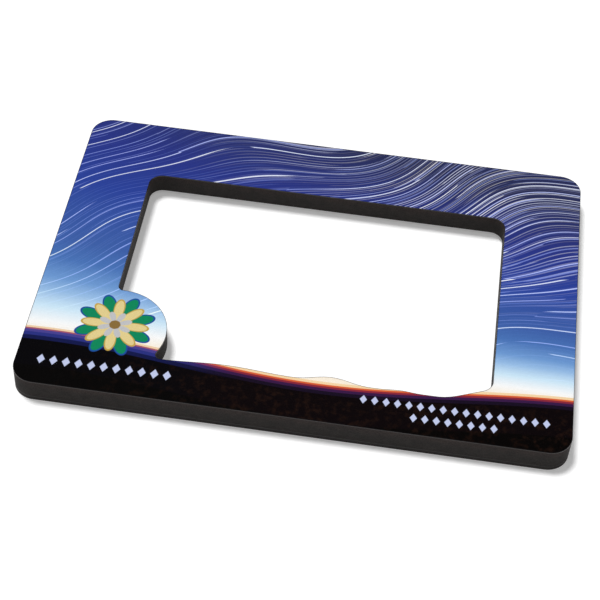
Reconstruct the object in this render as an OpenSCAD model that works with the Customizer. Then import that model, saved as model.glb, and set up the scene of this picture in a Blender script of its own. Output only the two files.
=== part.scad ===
// Magnetic photo frame: a die-cut foam frame with a printed, laminated face,
// held to a steel surface by flexible magnet strips on its back.
// The strips stand the foam off the steel and leave a shallow pocket for a standard print.
// The origin is the centre of the back, X is the width, Y the height, +Z the printed face.

/* [Frame] */
// Overall width of the frame
frame_w = 152.4; // [140:0.1:200]
// Overall height of the frame
frame_h = 107.95; // [100:0.05:150]
// Radius of the four outer corners
frame_corner_r = 6.35; // [2:0.05:12]

/* [Window] */
// Width of the left and right rails, seen from the front
side_rail = 22.225; // [15:0.025:30]
// Width of the top rail
top_rail = 22.225; // [12:0.025:30]
// Width of the bottom rail where the sill is lowest
bottom_rail = 14.1; // [11:0.1:20]
// Radius of the window's two top corners
window_corner_r = 4; // [1:0.1:8]

/* [Window sill] */
// Crest of the left swell of the sill, from the window's left edge
left_swell_at = 35; // [30:0.5:45]
// Half length of the left swell
left_swell_half = 19; // [8:0.5:22]
// Height of the left swell
left_swell_rise = 1; // [0:0.1:3]
// Crest of the middle swell, from the window's left edge
mid_swell_at = 64.1; // [50:0.1:75]
// Half length of the middle swell
mid_swell_half = 10.5; // [6:0.5:20]
// Height of the middle swell
mid_swell_rise = 1.75; // [0:0.05:3]
// Crest of the right swell, from the window's left edge
right_swell_at = 83; // [76:0.5:88]
// Half length of the right swell
right_swell_half = 6; // [3:0.5:10]
// Height of the right swell
right_swell_rise = 0.4; // [0:0.1:2]
// Slope of the bank at the right end of the sill, in degrees
bank_angle = 23; // [5:1:40]
// Foot of the bank, from the window's right edge
bank_run = 12.2; // [8:0.1:20]
// Length over which the sill bends up into the bank
bank_bend = 6; // [2:0.5:10]
// Radius of the corner between the bank and the window's right edge
bank_corner_r = 4; // [1:0.1:6]

/* [Lobe] */
// Radius of the round lobe that fills the window's lower left corner
lobe_r = 14.8; // [10:0.1:18]
// How far the lobe reaches into the window from the left edge
lobe_reach = 16.8; // [12:0.1:20]
// Top of the lobe above the lowest stretch of the sill
lobe_rise = 23.3; // [18:0.1:32]
// Radius of the fillet between the left edge and the top of the lobe
shoulder_r = 1.5; // [0.5:0.1:3]
// Radius of the fillet between the lobe and the sill
foot_r = 1.5; // [0.5:0.1:3]

/* [Layers] */
// Thickness of the closed-cell foam core
foam_t = 5.8; // [3:0.1:12]
// Thickness of the adhesive under the printed film
face_adhesive_t = 0.05; // [0.02:0.01:0.2]
// Thickness of the printed film
film_t = 0.12; // [0.05:0.01:0.5]
// Thickness of the clear film over the print
overlaminate_t = 0.08; // [0.03:0.01:0.3]

/* [Photo pocket and magnets] */
// Width of the print that lies in the pocket
photo_w = 127; // [112:0.1:134]
// Height of the print that lies in the pocket
photo_h = 88.9; // [78:0.1:94]
// Play between the print and each strip
photo_play = 0.5; // [0.2:0.1:2]
// Thickness of the flexible magnet strips
magnet_t = 1.2; // [0.5:0.1:3]
// Thickness of the adhesive on the strips
magnet_adhesive_t = 0.1; // [0.05:0.01:0.5]
// Gap between the ends of two neighbouring strips
strip_gap = 0.4; // [0.1:0.1:2]

/* [Hidden] */
$fn = 96;

// Resolution of the contour-cut window: degrees per step on arcs, steps along the sill
arc_step = 5;
sill_steps = 60;

// Heights of the layers above the steel surface
foam_z = magnet_t + magnet_adhesive_t;
face_adhesive_z = foam_z + foam_t;
film_z = face_adhesive_z + face_adhesive_t;
overlaminate_z = film_z + film_t;

// Edges of the window
window_left = -frame_w / 2 + side_rail;
window_right = frame_w / 2 - side_rail;
window_top = frame_h / 2 - top_rail;
window_bottom = -frame_h / 2 + bottom_rail;

// The strips fill the border around the print: two run the full width, two fit between them
band_w = (frame_h - photo_h) / 2 - photo_play;
post_w = (frame_w - photo_w) / 2 - photo_play;
post_h = frame_h - 2 * (band_w + strip_gap);

// Height of the sill along the window: three low swells, then a bank at the right end
bank_foot = window_right - bank_run;

function swell(x, at, half, rise) =
    abs(x - window_left - at) < half
        ? rise * (1 + cos(180 * (x - window_left - at) / half)) / 2
        : 0;

function bank(x) =
    let (along = x - bank_foot + bank_bend / 2)
    along <= 0 ? 0
        : along < bank_bend ? tan(bank_angle) * along * along / (2 * bank_bend)
        : tan(bank_angle) * (along - bank_bend / 2);

function sill(x) =
    window_bottom
    + swell(x, left_swell_at, left_swell_half, left_swell_rise)
    + swell(x, mid_swell_at, mid_swell_half, mid_swell_rise)
    + swell(x, right_swell_at, right_swell_half, right_swell_rise)
    + bank(x);

// Centre of the corner that touches both the bank and the window's right edge
bank_corner = [
    window_right - bank_corner_r,
    sill(window_right - bank_corner_r) + bank_corner_r / cos(bank_angle)
];

// Centres of the lobe and of the two fillets that touch it
lobe = [window_left + lobe_reach - lobe_r, window_bottom + lobe_rise - lobe_r];

function beside(reach, offset) = sqrt(reach * reach - offset * offset);

shoulder_x = window_left + shoulder_r;
shoulder = [shoulder_x, lobe.y + beside(lobe_r + shoulder_r, shoulder_x - lobe.x)];
foot_y = sill(lobe.x + lobe_r) + foot_r;
foot = [lobe.x + beside(lobe_r + foot_r, foot_y - lobe.y), foot_y];
lobe_start = atan2(shoulder.y - lobe.y, shoulder.x - lobe.x);
lobe_end = atan2(foot.y - lobe.y, foot.x - lobe.x);

// Points along an arc about a centre, both ends included
function arc(centre, r, from, to) =
    let (steps = ceil(abs(to - from) / arc_step))
    [for (i = [0:steps]) let (a = from + (to - from) * i / steps) centre + r * [cos(a), sin(a)]];

// The same points without the ends, for a stretch whose ends its neighbours already have
function inner(points) = [for (i = [1:len(points) - 2]) points[i]];

function sill_line(from, to) =
    [for (i = [0:sill_steps]) let (x = from + (to - from) * i / sill_steps) [x, sill(x)]];

window_path = concat(
    inner(sill_line(foot.x, bank_corner.x + bank_corner_r * sin(bank_angle))),
    arc(bank_corner, bank_corner_r, bank_angle - 90, 0),
    arc([window_right, window_top] - window_corner_r * [1, 1], window_corner_r, 0, 90),
    arc([window_left, window_top] + window_corner_r * [1, -1], window_corner_r, 90, 180),
    arc(shoulder, shoulder_r, 180, 180 + lobe_start),
    inner(arc(lobe, lobe_r, lobe_start, lobe_end)),
    arc(foot, foot_r, 180 + lobe_end, 270)
);

// Outer outline: a rectangle with round corners
module frame_outline() {
    square([frame_w - 2 * frame_corner_r, frame_h], center = true);
    square([frame_w, frame_h - 2 * frame_corner_r], center = true);
    for (x = [-1, 1], y = [-1, 1])
        translate([x * (frame_w / 2 - frame_corner_r), y * (frame_h / 2 - frame_corner_r)])
            circle(frame_corner_r);
}

// Plan of the foam and of every layer on its face, which are cut together
module face_plan() {
    difference() {
        frame_outline();
        polygon(window_path);
    }
}

// Plan of a full-width strip: side is 1 at the top and -1 at the bottom
module band_plan(side) {
    intersection() {
        frame_outline();
        translate([0, side * (frame_h - band_w) / 2])
            square([frame_w, band_w], center = true);
    }
}

// Plan of a strip between the full-width ones: side is 1 at the right and -1 at the left
module post_plan(side) {
    intersection() {
        frame_outline();
        translate([side * (frame_w - post_w) / 2, 0])
            square([post_w, post_h], center = true);
    }
}

// One flat layer, cut to the plan that is its child
module layer(z, thickness) {
    translate([0, 0, z])
        linear_extrude(thickness)
            children();
}

// Black closed-cell foam, which gives the frame its body
module foam_core() {
    color([0.15, 0.14, 0.14]) layer(foam_z, foam_t) face_plan();
}

// Clear adhesive that bonds the printed film to the foam
module face_adhesive() {
    color([0.85, 0.85, 0.8]) layer(face_adhesive_z, face_adhesive_t) face_plan();
}

// Printed film
module print_film() {
    color([0.2, 0.28, 0.6]) layer(film_z, film_t) face_plan();
}

// Glossy clear film that protects the print
module clear_overlaminate() {
    color([0.8, 0.88, 0.95]) layer(overlaminate_z, overlaminate_t) face_plan();
}

// Flexible magnet: ferrite powder in a rubber binder
module magnet() {
    color([0.22, 0.18, 0.16]) layer(0, magnet_t) children();
}

// Adhesive that bonds a strip to the back of the foam
module magnet_adhesive() {
    color([0.7, 0.68, 0.6]) layer(magnet_t, magnet_adhesive_t) children();
}

module magnet_top() {
    magnet() band_plan(1);
}

module magnet_bottom() {
    magnet() band_plan(-1);
}

module magnet_left() {
    magnet() post_plan(-1);
}

module magnet_right() {
    magnet() post_plan(1);
}

module magnet_adhesive_top() {
    magnet_adhesive() band_plan(1);
}

module magnet_adhesive_bottom() {
    magnet_adhesive() band_plan(-1);
}

module magnet_adhesive_left() {
    magnet_adhesive() post_plan(-1);
}

module magnet_adhesive_right() {
    magnet_adhesive() post_plan(1);
}

foam_core();
face_adhesive();
print_film();
clear_overlaminate();
magnet_top();
magnet_bottom();
magnet_left();
magnet_right();
magnet_adhesive_top();
magnet_adhesive_bottom();
magnet_adhesive_left();
magnet_adhesive_right();
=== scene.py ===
# Looks of a magnetic photo frame: die-cut black foam, a printed and laminated face, and magnet strips.
import math

import bpy
import numpy as np
from mathutils import Euler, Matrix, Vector


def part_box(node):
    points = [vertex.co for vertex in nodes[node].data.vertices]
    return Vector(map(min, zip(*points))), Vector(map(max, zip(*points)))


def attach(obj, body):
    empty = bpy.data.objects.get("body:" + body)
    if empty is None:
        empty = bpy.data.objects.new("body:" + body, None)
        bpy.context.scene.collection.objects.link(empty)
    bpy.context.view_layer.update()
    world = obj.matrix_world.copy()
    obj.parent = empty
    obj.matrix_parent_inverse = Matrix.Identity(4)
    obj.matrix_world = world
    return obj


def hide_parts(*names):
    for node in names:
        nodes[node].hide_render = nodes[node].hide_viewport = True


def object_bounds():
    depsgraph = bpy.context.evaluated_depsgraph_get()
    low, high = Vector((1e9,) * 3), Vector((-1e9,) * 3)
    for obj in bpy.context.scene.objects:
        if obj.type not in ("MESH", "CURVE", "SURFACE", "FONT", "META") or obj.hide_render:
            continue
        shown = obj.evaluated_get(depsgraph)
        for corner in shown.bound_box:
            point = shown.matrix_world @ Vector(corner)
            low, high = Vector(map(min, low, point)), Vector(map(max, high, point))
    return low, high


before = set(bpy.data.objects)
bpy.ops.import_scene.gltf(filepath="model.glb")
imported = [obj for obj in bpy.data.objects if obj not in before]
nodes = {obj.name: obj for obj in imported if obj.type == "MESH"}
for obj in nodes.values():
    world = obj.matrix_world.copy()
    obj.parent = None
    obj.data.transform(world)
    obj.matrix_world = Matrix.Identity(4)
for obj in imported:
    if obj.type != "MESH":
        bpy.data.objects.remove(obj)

MM = 0.001
cad_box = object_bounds()

# Places read from the frame: the foot of the whole, the top of the print, and the clear film
frame_low = cad_box[0]
film_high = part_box("print_film")[1]
laminate_low, laminate_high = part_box("clear_overlaminate")

# Sockets of a Mix node that mixes colours
MIX_A, MIX_B, MIX_RESULT = 6, 7, 2


def linear(colour):
    """Turns an sRGB hex colour into the linear RGBA that a socket takes."""
    shares = [int(colour[i:i + 2], 16) / 255 for i in (1, 3, 5)]
    return [s / 12.92 if s <= 0.04045 else ((s + 0.055) / 1.055) ** 2.4 for s in shares] + [1.0]


def add(tree, kind, inputs=None, stops=None, **settings):
    """Adds a node. inputs maps sockets to a value, a hex colour or another node's output,
    stops maps a ramp's places to hex colours, and settings are the node's own properties."""
    made = tree.nodes.new("ShaderNode" + kind)
    for name, value in settings.items():
        setattr(made, name, value)
    for socket, value in (inputs or {}).items():
        if isinstance(value, bpy.types.NodeSocket):
            tree.links.new(value, made.inputs[socket])
        else:
            made.inputs[socket].default_value = linear(value) if isinstance(value, str) else value
    for i, (place, colour) in enumerate(sorted((stops or {}).items())):
        ramp = made.color_ramp.elements
        stop = ramp[i] if i < 2 else ramp.new(place)
        stop.position, stop.color = place, linear(colour)
    return made


def material(name):
    """A new material with an empty tree."""
    made = bpy.data.materials.new(name)
    made.use_nodes = True
    made.node_tree.nodes.clear()
    return made, made.node_tree


def in_millimetres(tree, origin=(0, 0, 0)):
    """Object coordinates in millimetres, counted from a point of the frame in metres."""
    place = add(tree, "TexCoord").outputs["Object"]
    shift = [-part / MM for part in origin]
    return add(tree, "Mapping", {"Vector": place, "Location": shift, "Scale": (1 / MM,) * 3}).outputs[0]


def faded(tree, mask, value, start, end):
    """The mask, let in from nothing at value start to all of it at value end."""
    share = add(tree, "MapRange", {"Value": value, "From Min": start, "From Max": end},
                interpolation_type="SMOOTHSTEP").outputs[0]
    return add(tree, "Math", {0: mask, 1: share}, operation="MULTIPLY").outputs[0]


# The print. Its places and sizes are in millimetres, counted from the frame's lower left corner.
# The dusk gradient: its tints by height, the heights of its foot and its top tint, and how fast it
# darkens towards the right
DUSK = {17: "#fff3e0", 22: "#fdfefe", 28: "#d0ebfc", 34: "#9ac0e9", 39: "#709cd5", 47: "#4b75b9",
        55: "#4062aa", 80: "#2d449c", 100: "#2b3788", 134: "#2b3058"}
DUSK_FOOT, DUSK_HEIGHT = 19, 134
DUSK_SPREAD = 0.00355


def dusk(tree, x, y):
    """A gradient from deep blue down to cream. Its height above the foot is that of the place, times
    a factor that grows from 1 at the left edge, so that it is darker on the right."""
    above = add(tree, "Math", {0: y, 1: DUSK_FOOT}, operation="SUBTRACT").outputs[0]
    spread = add(tree, "Math", {0: x, 1: DUSK_SPREAD, 2: 1.0}, operation="MULTIPLY_ADD").outputs[0]
    height = add(tree, "Math", {0: above, 1: spread, 2: DUSK_FOOT}, operation="MULTIPLY_ADD").outputs[0]
    share = add(tree, "Math", {0: height, 1: DUSK_HEIGHT}, operation="DIVIDE").outputs[0]
    stops = {place / DUSK_HEIGHT: tint for place, tint in DUSK.items()}
    return add(tree, "ValToRGB", {"Fac": share}, stops=stops).outputs["Color"]


# The flow that the fine lines follow: its turn, and its sideways sways, each with its size, its
# length along the flow and its length across it
FLOW_TURN = math.radians(63)
SWAYS = [(6.5, 19, 34), (2.2, 8.5, -21)]

# Sets of lines: spacing, length and width, where they fade in along the width and up the height, and
# the light that each line adds to the gradient, by the number that it draws. They are wider than the
# finest lines of a real print, so that they show
STRANDS = [
    (1.05, 38, 0.26, (20, 106), (40, 92),
     {0.0: "#242428", 0.35: "#5c5850", 0.5: "#6e728c", 0.7: "#a09d92", 0.85: "#b2b9d2", 1.0: "#f8f5f0"}),
    (1.7, 44, 0.2, (-60, 50), (30, 56), {0.3: "#000000", 0.7: "#303c5c", 1.0: "#7c8cc0"}),
    (3.4, 52, 0.32, (-9, 0), (22, 38), {0.0: "#1a1e28", 0.4: "#525a7c", 0.8: "#b4beee", 1.0: "#f6f8ff"}),
]
# Between these shares of half its width a line's edge fades out
LINE_EDGE = (0.5, 1.5)


def flow(tree, place):
    """Coordinates that follow a swaying flow: X across it and Y along it.
    The place is turned, and sines of where it lies are added to its X."""
    turned = add(tree, "Mapping", {"Vector": place, "Rotation": (0, 0, FLOW_TURN)})
    parts = add(tree, "SeparateXYZ", {0: turned.outputs[0]})
    across, along = parts.outputs["X"], parts.outputs["Y"]
    swayed = across
    for size, length, breadth in SWAYS:
        phase = add(tree, "Math", {0: along, 1: 1 / length}, operation="MULTIPLY").outputs[0]
        phase = add(tree, "Math", {0: across, 1: 1 / breadth, 2: phase}, operation="MULTIPLY_ADD").outputs[0]
        wave = add(tree, "Math", {0: phase}, operation="SINE").outputs[0]
        swayed = add(tree, "Math", {0: wave, 1: size, 2: swayed}, operation="MULTIPLY_ADD").outputs[0]
    return add(tree, "CombineXYZ", {"X": swayed, "Y": along}).outputs[0]


def strands(tree, stream, spacing, length, width):
    """A mask of fine lines along the flow, and the number that each draws. Voronoi cells are stretched
    along the flow, and a line is where the distance across it from a cell's centre is small."""
    place = add(tree, "Mapping", {"Vector": stream, "Scale": (1 / spacing, 1 / length, 1)}).outputs[0]
    cell = add(tree, "TexVoronoi", {"Vector": place, "Scale": 1.0}, voronoi_dimensions="2D").outputs
    offset = add(tree, "VectorMath", {0: place, 1: cell["Position"]}, operation="SUBTRACT").outputs[0]
    across = add(tree, "SeparateXYZ", {0: offset}).outputs["X"]
    distance = add(tree, "Math", {0: across}, operation="ABSOLUTE").outputs[0]
    inner, outer = [share * width / spacing / 2 for share in LINE_EDGE]
    line = add(tree, "MapRange", {"Value": distance, "From Min": inner, "From Max": outer,
                                  "To Min": 1.0, "To Max": 0.0}).outputs[0]
    return line, add(tree, "SeparateColor", {0: cell["Color"]}).outputs["Red"]


def lined(tree, colour, place, x, y):
    """Every set of lines, added to the colour below them as light is."""
    stream = flow(tree, place)
    for spacing, length, width, across, up, tints in STRANDS:
        mask, draw = strands(tree, stream, spacing, length, width)
        mask = faded(tree, faded(tree, mask, x, *across), y, *up)
        tint = add(tree, "ValToRGB", {"Fac": draw}, stops=tints).outputs["Color"]
        colour = add(tree, "Mix", {0: mask, MIX_A: colour, MIX_B: tint}, data_type="RGBA",
                     blend_type="ADD", clamp_result=True).outputs[MIX_RESULT]
    return colour


# Stripes at the foot of the print. Their top edge is a cosine: its mean height, its rise, its length
# and the place of its first crest. Each stripe starts at a depth below that edge and has one tint, and
# between two places along the width the cool tints turn to warm ones. Last come the depth of all the
# stripes and the softness of their borders
STRIPE_TOP, STRIPE_RISE, STRIPE_WAVE, STRIPE_CREST = 16.9, 3.1, 150, 8
COOL_STRIPES = {0.0: "#f4d3ac", 0.7: "#a8576a", 1.2: "#4a4392", 2.2: "#2c3382", 3.4: "#141a4c",
                4.8: "#040306", 14.0: "#030202"}
WARM_STRIPES = {0.0: "#fad9aa", 0.9: "#dd6034", 1.5: "#8c2a3c", 2.2: "#3a1b48", 3.2: "#180e22",
                4.4: "#0a0406", 14.0: "#040202"}
WARM_PLACES = (34, 62)
STRIPE_DEPTH = 16
STRIPE_BLUR = 0.14

# Brown mottling of the dark foot: its tint and greatest share, the size and roughness of its noise,
# the noise values between which it comes in, and where it comes in by depth and along the width
MOTTLE, MOTTLE_SHARE = "#24140d", 0.7
MOTTLE_SIZE, MOTTLE_ROUGHNESS = 2.0, 0.65
MOTTLE_VALUES = (0.5, 0.68)
MOTTLE_DEPTHS, MOTTLE_PLACES = (3.6, 6.0), (0, 60)


def mottled(tree, colour, place, x, depth):
    """The colour with patches of the mottling, where a rough noise is high."""
    noise = add(tree, "TexNoise", {"Vector": place, "Scale": 1 / MOTTLE_SIZE, "Detail": 5.0,
                                   "Roughness": MOTTLE_ROUGHNESS}).outputs["Fac"]
    low, high = MOTTLE_VALUES
    mask = add(tree, "MapRange", {"Value": noise, "From Min": low, "From Max": high,
                                  "To Max": MOTTLE_SHARE}).outputs[0]
    mask = faded(tree, faded(tree, mask, depth, *MOTTLE_DEPTHS), x, *MOTTLE_PLACES)
    return add(tree, "Mix", {0: mask, MIX_A: colour, MIX_B: MOTTLE}, data_type="RGBA").outputs[MIX_RESULT]


def stripes(tree, colour, place, x, y):
    """Parallel stripes under a long cosine, over a near-black, mottled foot."""
    turn = add(tree, "Math", {0: x, 1: math.tau / STRIPE_WAVE, 2: -math.tau * STRIPE_CREST / STRIPE_WAVE},
               operation="MULTIPLY_ADD").outputs[0]
    wave = add(tree, "Math", {0: turn}, operation="COSINE").outputs[0]
    top = add(tree, "Math", {0: wave, 1: STRIPE_RISE, 2: STRIPE_TOP}, operation="MULTIPLY_ADD").outputs[0]
    depth = add(tree, "Math", {0: top, 1: y}, operation="SUBTRACT").outputs[0]
    share = add(tree, "Math", {0: depth, 1: STRIPE_DEPTH}, operation="DIVIDE").outputs[0]
    tints = []
    for stripe_set in (COOL_STRIPES, WARM_STRIPES):
        stops, before = {}, None
        for start, tint in stripe_set.items():
            if before:
                stops[(start - STRIPE_BLUR) / STRIPE_DEPTH] = before
            stops[start / STRIPE_DEPTH] = before = tint
        tints.append(add(tree, "ValToRGB", {"Fac": share}, stops=stops).outputs["Color"])
    cool, warm = tints
    warmth = faded(tree, 1.0, x, *WARM_PLACES)
    tint = add(tree, "Mix", {0: warmth, MIX_A: cool, MIX_B: warm}, data_type="RGBA").outputs[MIX_RESULT]
    tint = mottled(tree, tint, place, x, depth)
    mask = add(tree, "MapRange", {"Value": depth, "From Min": -STRIPE_BLUR, "From Max": 0.0}).outputs[0]
    return add(tree, "Mix", {0: mask, MIX_A: colour, MIX_B: tint}, data_type="RGBA").outputs[MIX_RESULT]


# The ornament's centre, the softness of its edges, and its rings of petals: reach, petals, turn in
# degrees, how slim the petals are, and their tint
ROSETTE = (24.2, 24.2)
PETAL_BLUR = 0.2
PETALS = [(11.6, 8, 22.5, 0.55, "#1f4f9c"),
          (11.0, 8, 22.5, 0.75, "#12895c"),
          (9.8, 8, 0, 0.70, "#c8a64e"),
          (9.2, 8, 0, 0.95, "#e6d292"),
          (5.0, 8, 22.5, 0.50, "#c4c4c6"),
          (1.7, 8, 0, 0.02, "#8d6f3c")]


def rosette(tree, colour, place):
    """A plain eight-petalled ornament. A ring's edge lies at its reach times a power of a cosine,
    which is that of the angle times half the number of petals."""
    centred = add(tree, "VectorMath", {0: place, 1: (*ROSETTE, 0)}, operation="SUBTRACT").outputs[0]
    flat = add(tree, "VectorMath", {0: centred, 1: (1, 1, 0)}, operation="MULTIPLY").outputs[0]
    radius = add(tree, "VectorMath", {0: flat}, operation="LENGTH").outputs["Value"]
    parts = add(tree, "SeparateXYZ", {0: flat}).outputs
    angle = add(tree, "Math", {0: parts["Y"], 1: parts["X"]}, operation="ARCTAN2").outputs[0]
    for reach, petals, turn, slimness, tint in PETALS:
        phase = add(tree, "Math", {0: angle, 1: petals / 2, 2: math.radians(turn) * petals / 2},
                    operation="MULTIPLY_ADD").outputs[0]
        swing = add(tree, "Math", {0: phase}, operation="COSINE").outputs[0]
        swing = add(tree, "Math", {0: swing}, operation="ABSOLUTE").outputs[0]
        swing = add(tree, "Math", {0: swing, 1: slimness}, operation="POWER").outputs[0]
        edge = add(tree, "Math", {0: swing, 1: reach}, operation="MULTIPLY").outputs[0]
        inside = add(tree, "Math", {0: edge, 1: radius}, operation="SUBTRACT").outputs[0]
        mask = add(tree, "MapRange", {"Value": inside, "From Max": PETAL_BLUR}).outputs[0]
        colour = add(tree, "Mix", {0: mask, MIX_A: colour, MIX_B: tint}, data_type="RGBA")
        colour = colour.outputs[MIX_RESULT]
    return colour


# Rows of lozenges: centre, number and pitch, half width and half height of one. Their edges are soft
# between two shares of their size
LOZENGE_ROWS = [((24.5, 8.6), 11, 3.5, 1.15, 1.7),
                ((120.5, 9.7), 17, 3.1, 1.0, 1.5),
                ((120.5, 5.6), 8, 3.1, 1.0, 1.5)]
LOZENGE_COLOUR = "#c6cff0"
LOZENGE_EDGE = (0.9, 1.05)


def lozenges(tree, colour, x, y):
    """Rows of lozenges: the distance to the nearest centre along the row, as a share of a
    lozenge's half width, and the height off the row, as a share of half its height, add up to 1."""
    sharp, clear = LOZENGE_EDGE
    for (centre_x, centre_y), count, pitch, half_width, half_height in LOZENGE_ROWS:
        start = centre_x - (count - 1) / 2 * pitch
        along = add(tree, "Math", {0: x, 1: start}, operation="SUBTRACT").outputs[0]
        near = add(tree, "Math", {0: along, 1: pitch / 2}, operation="PINGPONG").outputs[0]
        near = add(tree, "Math", {0: near, 1: half_width}, operation="DIVIDE").outputs[0]
        off = add(tree, "Math", {0: y, 1: centre_y}, operation="SUBTRACT").outputs[0]
        off = add(tree, "Math", {0: off}, operation="ABSOLUTE").outputs[0]
        off = add(tree, "Math", {0: off, 1: 1 / half_height, 2: near}, operation="MULTIPLY_ADD").outputs[0]
        mask = add(tree, "MapRange", {"Value": off, "From Min": sharp, "From Max": clear,
                                      "To Min": 1.0, "To Max": 0.0}).outputs[0]
        within = add(tree, "Math", {0: x, 1: centre_x, 2: count * pitch / 2}, operation="COMPARE").outputs[0]
        mask = add(tree, "Math", {0: mask, 1: within}, operation="MULTIPLY").outputs[0]
        colour = add(tree, "Mix", {0: mask, MIX_A: colour, MIX_B: LOZENGE_COLOUR},
                     data_type="RGBA").outputs[MIX_RESULT]
    return colour


def printed_colour(tree):
    """The whole generic print, as one colour."""
    place = in_millimetres(tree, (frame_low.x, frame_low.y, 0))
    parts = add(tree, "SeparateXYZ", {0: place}).outputs
    x, y = parts["X"], parts["Y"]
    colour = dusk(tree, x, y)
    colour = lined(tree, colour, place, x, y)
    colour = stripes(tree, colour, place, x, y)
    colour = rosette(tree, colour, place)
    return lozenges(tree, colour, x, y)


# The gloss of the face is shared by the two bonded films. Most of it lies on the printed one, and the
# clear one adds a share. Both have the waviness of a film that a roller pressed on, in millimetres
GLOSS_ROUGHNESS = 0.12
OUTER_SHARE = 0.2
CLEAR_IOR = 1.49
PEEL_SIZE, PEEL_DEPTH, PEEL_STRENGTH = 2.2, 0.2, 0.05

# The printed film's cut edge, and the grain of its ink, coarser than a printer's dots so that it
# shows: its size in millimetres and the range of its brightness
FILM_EDGE = "#171211"
GRAIN_SIZE, GRAIN_RANGE = 0.42, (0.93, 1.07)

# A face is level, and not a wall, where its normal's height is over this
LEVEL = 0.5
# Specular level of what is matt: the foam, the magnet strips and the crushed rim
MATT_SPECULAR = 0.25


def peel(tree):
    """A normal with the faint, slow waviness of a film that was rolled on."""
    waves = add(tree, "TexNoise", {"Vector": in_millimetres(tree), "Scale": 1 / PEEL_SIZE, "Detail": 1.0})
    return add(tree, "Bump", {"Height": waves.outputs["Fac"], "Strength": PEEL_STRENGTH,
                              "Distance": PEEL_DEPTH * MM}).outputs[0]


def faces(tree, direction):
    """1 where a face looks along Z in that direction, 1 up or -1 down, and 0 on walls."""
    normal = add(tree, "NewGeometry").outputs["Normal"]
    height = add(tree, "SeparateXYZ", {0: normal}).outputs["Z"]
    height = add(tree, "Math", {0: height, 1: direction}, operation="MULTIPLY").outputs[0]
    return add(tree, "Math", {0: height, 1: LEVEL}, operation="GREATER_THAN").outputs[0]


def printed_film():
    """Polyester film, printed in full colour and rolled smooth: a deep, even gloss over a slight
    grain, and a dark cut edge."""
    made, tree = material("printed_polyester_film")
    grain = add(tree, "TexNoise", {"Vector": in_millimetres(tree), "Scale": 1 / GRAIN_SIZE, "Detail": 1.0})
    low, high = GRAIN_RANGE
    grain = add(tree, "MapRange", {"Value": grain.outputs["Fac"], "To Min": low, "To Max": high}).outputs[0]
    ink = add(tree, "VectorMath", {0: printed_colour(tree), "Scale": grain}, operation="SCALE").outputs[0]
    colour = add(tree, "Mix", {0: faces(tree, 1), MIX_A: FILM_EDGE, MIX_B: ink}, data_type="RGBA")
    surface = add(tree, "BsdfPrincipled", {"Base Color": colour.outputs[MIX_RESULT],
                                           "Roughness": GLOSS_ROUGHNESS, "Normal": peel(tree)})
    add(tree, "OutputMaterial", {"Surface": surface.outputs[0]})
    return made


def clear_film():
    """Gloss polypropylene film: it lets the print show through whole, and adds its share of the gloss,
    which grows towards a glancing view as a clear plastic's does."""
    made, tree = material("gloss_polypropylene_film")
    gloss = add(tree, "BsdfGlossy", {"Color": "#ffffff", "Roughness": GLOSS_ROUGHNESS, "Normal": peel(tree)})
    mirrored = add(tree, "Fresnel", {"IOR": CLEAR_IOR}).outputs[0]
    mirrored = add(tree, "Math", {0: mirrored, 1: OUTER_SHARE}, operation="MULTIPLY").outputs[0]
    inside = add(tree, "NewGeometry").outputs["Backfacing"]
    mirrored = add(tree, "Mix", {0: inside, 2: mirrored, 3: 0.0}).outputs[0]
    clear = add(tree, "BsdfTransparent").outputs[0]
    shining = add(tree, "AddShader", {0: clear, 1: gloss.outputs[0]}).outputs[0]
    surface = add(tree, "MixShader", {0: mirrored, 1: clear, 2: shining})
    add(tree, "OutputMaterial", {"Surface": surface.outputs[0]})
    return made


# The crushed rim of the films: its dust's size in millimetres, and its tones
DUST_SIZE = 0.77
DUST_TONES = {0.35: "#131112", 0.7: "#1f1a1a"}


def crushed_edge():
    """The rim of the films where the die came down: crushed, matt and dark from the foam's dust."""
    made, tree = material("die_crushed_film_edge")
    dust = add(tree, "TexNoise", {"Vector": in_millimetres(tree), "Scale": 1 / DUST_SIZE, "Detail": 3.0})
    tone = add(tree, "ValToRGB", {"Fac": dust.outputs["Fac"]}, stops=DUST_TONES).outputs["Color"]
    surface = add(tree, "BsdfPrincipled", {"Base Color": tone, "Roughness": 0.7,
                                           "Specular IOR Level": MATT_SPECULAR})
    add(tree, "OutputMaterial", {"Surface": surface.outputs[0]})
    return made


# The cells of the cut foam: their size and depth in millimetres, how far a cell's wall is from its
# centre as a share of its size, and the brightness at the centre and at the wall, where the darker
# centre is painted shade in each pit over the foam's own grain. They are drawn coarser than real
# ones, which are 0.1 to 0.2 mm wide, so that they show
CELL_SIZE, CELL_DEPTH = 0.42, 0.08
CELL_REACH, CELL_SHADES = 0.6, (0.5, 1.17)

# The size of the foam's clouds, its tones low on the wall and at its top, where it is paler and browner
# as painted light, and the heights between which they change, in millimetres
CLOUD_SIZE = 2.5
FOAM_TONES = {0.3: "#201d1c", 0.7: "#2a2624"}
LIT_TOP_TONES = {0.3: "#272120", 0.7: "#332a27"}
LIT_TOP_HEIGHTS = (4.2, 6.8)


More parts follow.
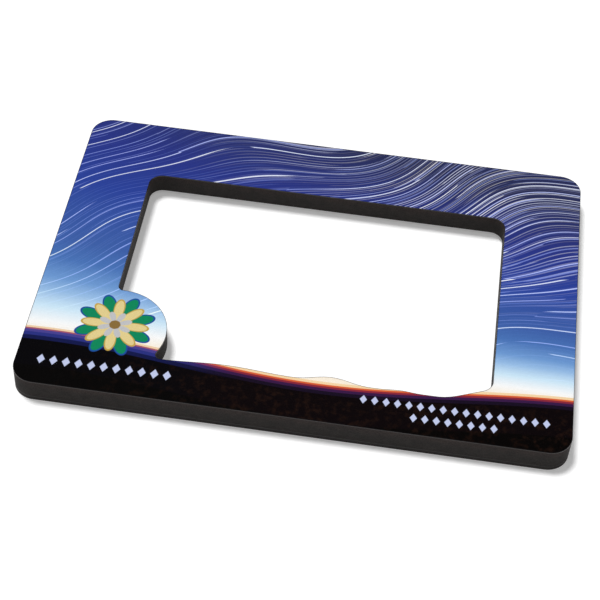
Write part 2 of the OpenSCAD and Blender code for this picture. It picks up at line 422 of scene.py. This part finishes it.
def cut_foam():
    """EVA foam, black, die-cut: matt, with its cut cells as fine pits, darker at their centres as painted
    shade, and a faint cloudiness. It is paler and browner towards the top of the wall: painted light."""
    made, tree = material("black_eva_foam")
    place = in_millimetres(tree)
    cells = add(tree, "TexVoronoi", {"Vector": place, "Scale": 1 / CELL_SIZE}).outputs["Distance"]
    clouds = add(tree, "TexNoise", {"Vector": place, "Scale": 1 / CLOUD_SIZE, "Detail": 4.0,
                                    "Roughness": 0.6}).outputs["Fac"]
    low, high = [add(tree, "ValToRGB", {"Fac": clouds}, stops=tones).outputs["Color"]
                 for tones in (FOAM_TONES, LIT_TOP_TONES)]
    # Painted light: the wall's top is made paler and browner than its foot, as if it were lit more
    height = add(tree, "SeparateXYZ", {0: place}).outputs["Z"]
    lit_top = faded(tree, 1.0, height, *LIT_TOP_HEIGHTS)
    tone = add(tree, "Mix", {0: lit_top, MIX_A: low, MIX_B: high}, data_type="RGBA").outputs[MIX_RESULT]
    # The darker cell centres are painted shade in the pits, over the foam's own grain
    centre, wall = CELL_SHADES
    shade = add(tree, "MapRange", {"Value": cells, "From Max": CELL_REACH, "To Min": centre,
                                   "To Max": wall}).outputs[0]
    colour = add(tree, "VectorMath", {0: tone, "Scale": shade}, operation="SCALE").outputs[0]
    pits = add(tree, "Bump", {"Height": cells, "Strength": 0.5, "Distance": CELL_DEPTH * MM}).outputs[0]
    surface = add(tree, "BsdfPrincipled", {"Base Color": colour, "Roughness": 0.85, "Normal": pits,
                                           "Specular IOR Level": MATT_SPECULAR})
    add(tree, "OutputMaterial", {"Surface": surface.outputs[0]})
    return made


# The magnet strips: the length, width and depth of the lines that the extruder leaves, in
# millimetres, and their tones on the slit edges, which the foam's dust darkens, and on the faces
LINE_LENGTH, LINE_WIDTH, LINE_DEPTH = 16, 0.3, 0.03
SLIT_TONES = {0.35: "#211e1e", 0.7: "#2c2826"}
FACE_TONES = {0.35: "#352c28", 0.7: "#493d36"}


def magnet_rubber(name, along):
    """Extruded magnet strip: ferrite in rubber, dark brown and matt, with fine lines along its length."""
    made, tree = material(name)
    stretch = [1 / (LINE_LENGTH if axis == along else LINE_WIDTH) for axis in "XYZ"]
    place = add(tree, "Mapping", {"Vector": in_millimetres(tree), "Scale": stretch}).outputs[0]
    lines = add(tree, "TexNoise", {"Vector": place, "Scale": 1.0, "Detail": 3.0}).outputs["Fac"]
    slit, face = [add(tree, "ValToRGB", {"Fac": lines}, stops=tones).outputs["Color"]
                  for tones in (SLIT_TONES, FACE_TONES)]
    tone = add(tree, "Mix", {0: faces(tree, -1), MIX_A: slit, MIX_B: face}, data_type="RGBA")
    grooves = add(tree, "Bump", {"Height": lines, "Strength": 0.35, "Distance": LINE_DEPTH * MM}).outputs[0]
    surface = add(tree, "BsdfPrincipled", {"Base Color": tone.outputs[MIX_RESULT], "Roughness": 0.75,
                                           "Specular IOR Level": MATT_SPECULAR, "Normal": grooves})
    add(tree, "OutputMaterial", {"Surface": surface.outputs[0]})
    return made


# Size of the waves in an adhesive's edge, in millimetres
OOZE_SIZE = 1.1


def adhesive(name, colour, dark):
    """Acrylic adhesive seen at its edge: clear, so it takes the dark of the foam, and a little wavy."""
    made, tree = material(name)
    waves = add(tree, "TexNoise", {"Vector": in_millimetres(tree), "Scale": 1 / OOZE_SIZE, "Detail": 2.0})
    tone = add(tree, "ValToRGB", {"Fac": waves.outputs["Fac"]}, stops={0.3: dark, 0.7: colour})
    surface = add(tree, "BsdfPrincipled", {"Base Color": tone.outputs["Color"], "Roughness": 0.3})
    add(tree, "OutputMaterial", {"Surface": surface.outputs[0]})
    return made


def finish_node(name, made):
    """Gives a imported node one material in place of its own."""
    slots = nodes[name].data.materials
    slots.clear()
    slots.append(made)


# The clear film: the width of the rim that the die crushes down, the gap over the print, and the grid
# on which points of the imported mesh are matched
CRUSHED_RIM = 0.12 * MM
FILM_CLEARANCE = 0.004 * MM
SAME_PLACE = 0.001 * MM


def merged(mesh):
    """Points and triangles of a mesh of loose triangles, with points in one place made one."""
    points = np.zeros(len(mesh.vertices) * 3)
    mesh.vertices.foreach_get("co", points)
    points = points.reshape(-1, 3)
    mesh.calc_loop_triangles()
    corners = np.zeros(len(mesh.loop_triangles) * 3, np.int64)
    mesh.loop_triangles.foreach_get("vertices", corners)
    keys = np.round(points / SAME_PLACE).astype(np.int64)
    _, first, index = np.unique(keys, axis=0, return_index=True, return_inverse=True)
    return points[first], index.ravel()[corners].reshape(-1, 3)


def outline(triangles, count):
    """The edges that only one triangle has, each in the order in which that triangle has it."""
    edges = np.concatenate([triangles[:, [0, 1]], triangles[:, [1, 2]], triangles[:, [2, 0]]])
    forth = edges[:, 0] * count + edges[:, 1]
    back = edges[:, 1] * count + edges[:, 0]
    return edges[~np.isin(forth, back)]


def drawn_in(points, rim, width):
    """The points, with the outline moved inwards by the width. A point goes along the sum of its two
    edges' normals, times twice the width over the square of that sum's length, so that both edges
    move by the width."""
    along = points[rim[:, 1], :2] - points[rim[:, 0], :2]
    along /= np.linalg.norm(along, axis=1)[:, None]
    inward = np.stack([-along[:, 1], along[:, 0]], 1)
    both = np.zeros((len(points), 2))
    np.add.at(both, rim[:, 0], inward)
    np.add.at(both, rim[:, 1], inward)
    on_rim = np.unique(rim)
    squares = (both[on_rim] ** 2).sum(1)
    moved = points.copy()
    moved[on_rim, :2] += both[on_rim] * (2 * width / squares)[:, None]
    return moved


def crushed_film(name):
    """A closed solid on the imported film's own outline. Its top is the film's top face, drawn in by
    the rim's width, its foot is the whole face just over the print, and slanted walls join them."""
    points, triangles = merged(nodes["clear_overlaminate"].data)
    on_top = points[:, 2] > (laminate_low.z + laminate_high.z) / 2
    top = triangles[on_top[triangles].all(1)]
    rim = outline(top, len(points))
    upper = drawn_in(points, rim, CRUSHED_RIM)
    lower = points.copy()
    lower[:, 2] = film_high.z + FILM_CLEARANCE
    used = np.unique(top)
    count = len(used)
    number = np.zeros(len(points), np.int64)
    number[used] = np.arange(count)
    top, rim = number[top], number[rim]
    walls = np.stack([rim[:, 0] + count, rim[:, 1] + count, rim[:, 1], rim[:, 0]], 1)
    mesh = bpy.data.meshes.new(name)
    mesh.from_pydata(np.concatenate([upper[used], lower[used]]), [],
                     top.tolist() + (top[:, ::-1] + count).tolist() + walls.tolist())
    mesh.materials.append(clear_film())
    mesh.materials.append(crushed_edge())
    kinds = np.repeat([0, 1], [2 * len(top), len(walls)]).astype(np.int32)
    mesh.polygons.foreach_set("material_index", kinds)
    mesh.update()
    piece = bpy.data.objects.new(name, mesh)
    bpy.context.scene.collection.objects.link(piece)
    return piece


finish_node("foam_core", cut_foam())
finish_node("print_film", printed_film())
finish_node("face_adhesive", adhesive("face_acrylic_adhesive", "#2c2523", "#201b1a"))
lengthwise = magnet_rubber("magnet_rubber_along_x", "X")
upright = magnet_rubber("magnet_rubber_along_y", "Y")
strip_adhesive = adhesive("strip_acrylic_adhesive", "#2f2c2a", "#252221")
for side, rubber in {"top": lengthwise, "bottom": lengthwise, "left": upright, "right": upright}.items():
    finish_node("magnet_" + side, rubber)
    finish_node("magnet_adhesive_" + side, strip_adhesive)

laminate = crushed_film("face_laminate")
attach(laminate, "root")
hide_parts("clear_overlaminate")

# The studio's floor is white paper, 3 m to each side. Its fibres, whose size is in millimetres, are
# coarser than real ones, so that they show
FLOOR_REACH = 3.0
FLOOR_GAP = 0.1 * MM
FLOOR_GLOW = 0.3
FIBRE_SIZE = 1.25
# Paper that sees less than this share of its surroundings, within this reach, loses its glow: painted
# shade, which darkens the paper beside and under the frame beyond the lamps' own shadows
COVER_REACH = 2.5 * MM
COVER_SHARE = 0.4
COVER_RAYS = 8

# A soft key light from high up, a little behind and to the left
KEY_SHARE = 0.8
KEY_DIRECTION = Vector((-0.27, 0.19, 0.944))
KEY_SOFTNESS = math.radians(16)
# A lamp straight below, which meets nothing but the back, so that it shows from under the floor
LOWER_SHARE = 0.8
LOWER_DIRECTION = Vector((0, 0, -1))
LOWER_SOFTNESS = math.radians(4)

# Greys of the room by the sine of the height above the horizon
ROOM = {0.0: "#000000", 0.001: "#d6d6d6", 0.2: "#c8c8c8", 0.5: "#8c8c8c", 0.64: "#2a2a2a",
        0.82: "#2a2a2a", 1.0: "#8a8a8a"}


def seen_rays(tree):
    """1 for rays that show the background: from the camera, off a gloss or through a clear piece."""
    path = add(tree, "LightPath").outputs
    shown = add(tree, "Math", {0: path["Is Camera Ray"], 1: path["Is Glossy Ray"]}, operation="MAXIMUM")
    return add(tree, "Math", {0: shown.outputs[0], 1: path["Is Transmission Ray"]},
               operation="MAXIMUM").outputs[0]


def white_floor():
    """Matt white paper. A glow that only seen rays meet lifts it to white and keeps its shadows,
    and it fades close to the frame as painted shade. From below it isn't there."""
    made, tree = material("matt_white_paper")
    fibres = add(tree, "TexNoise", {"Vector": in_millimetres(tree), "Scale": 1 / FIBRE_SIZE, "Detail": 2.0})
    tone = add(tree, "ValToRGB", {"Fac": fibres.outputs["Fac"]}, stops={0.0: "#eeeeee", 1.0: "#f2f2f2"})
    paper = add(tree, "BsdfDiffuse", {"Color": tone.outputs["Color"]}).outputs[0]
    # Painted shade: the glow fades where the paper is closed in by the frame
    seen = add(tree, "AmbientOcclusion", {"Distance": COVER_REACH}, samples=COVER_RAYS).outputs["AO"]
    glow_with_painted_shade = add(tree, "MapRange", {"Value": seen, "From Max": COVER_SHARE, "To Max": FLOOR_GLOW}).outputs[0]
    strength = add(tree, "Math", {0: seen_rays(tree), 1: glow_with_painted_shade}, operation="MULTIPLY").outputs[0]
    glow = add(tree, "Emission", {"Color": "#ffffff", "Strength": strength}).outputs[0]
    lit = add(tree, "AddShader", {0: paper, 1: glow}).outputs[0]
    below = add(tree, "NewGeometry").outputs["Backfacing"]
    clear = add(tree, "BsdfTransparent").outputs[0]
    surface = add(tree, "MixShader", {0: below, 1: lit, 2: clear})
    add(tree, "OutputMaterial", {"Surface": surface.outputs[0]})
    return made


def floor():
    """One square of paper just under the strips. It casts no shadow, so that the lower lamp passes it."""
    corners = FLOOR_REACH * np.array([[-1, -1, 0], [1, -1, 0], [1, 1, 0], [-1, 1, 0]])
    corners[:, 2] = frame_low.z - FLOOR_GAP
    mesh = bpy.data.meshes.new("floor")
    mesh.from_pydata(corners, [], [(0, 1, 2, 3)])
    mesh.materials.append(white_floor())
    made = bpy.data.objects.new("floor", mesh)
    made.visible_shadow = False
    bpy.context.scene.collection.objects.link(made)


def soft_sun(name, share, direction, softness):
    """A soft sun in that direction, whose share of the light on a level surface is given."""
    lamp = bpy.data.lights.new(name, "SUN")
    lamp.energy = share * math.pi / abs(direction.normalized().z)
    lamp.angle = softness
    made = bpy.data.objects.new(name, lamp)
    made.rotation_euler = direction.to_track_quat("Z", "Y").to_euler()
    bpy.context.scene.collection.objects.link(made)


def room():
    """White to the camera. To the object it is bright near the horizon, dim higher up, paler again
    overhead and black below."""
    world = bpy.data.worlds.new("room")
    bpy.context.scene.world = world
    world.use_nodes = True
    tree = world.node_tree
    tree.nodes.clear()
    direction = add(tree, "TexCoord").outputs["Generated"]
    height = add(tree, "SeparateXYZ", {0: direction}).outputs["Z"]
    walls = add(tree, "ValToRGB", {"Fac": height}, stops=ROOM).outputs["Color"]
    path = add(tree, "LightPath").outputs
    shown = add(tree, "Math", {0: path["Is Camera Ray"], 1: path["Is Transmission Ray"]},
                operation="MAXIMUM").outputs[0]
    colour = add(tree, "Mix", {0: shown, MIX_A: walls, MIX_B: "#ffffff"}, data_type="RGBA")
    background = add(tree, "Background", {"Color": colour.outputs[MIX_RESULT], "Strength": 1.0})
    add(tree, "OutputWorld", {"Surface": background.outputs[0]})


# The photograph's view, found from the frame's straight edges: place in millimetres, turn in
# degrees, and the lens for a sensor 36 mm wide
VIEW_PLACE = Vector((25.891, -321.58, 348.733))
VIEW_TURN = (42.309, -2.4906, 7.9422)
SENSOR_WIDTH, LENS = 36.0, 97.436


def camera():
    """The camera at the photograph's view, without shift."""
    lens = bpy.data.cameras.new("camera")
    lens.sensor_width, lens.lens = SENSOR_WIDTH, LENS
    made = bpy.data.objects.new("camera", lens)
    made.location = VIEW_PLACE * MM
    made.rotation_euler = Euler([math.radians(angle) for angle in VIEW_TURN])
    bpy.context.scene.collection.objects.link(made)
    bpy.context.scene.camera = made


floor()
soft_sun("key", KEY_SHARE, KEY_DIRECTION, KEY_SOFTNESS)
soft_sun("lower", LOWER_SHARE, LOWER_DIRECTION, LOWER_SOFTNESS)
room()
camera()
bpy.context.scene.view_settings.view_transform = "Standard"
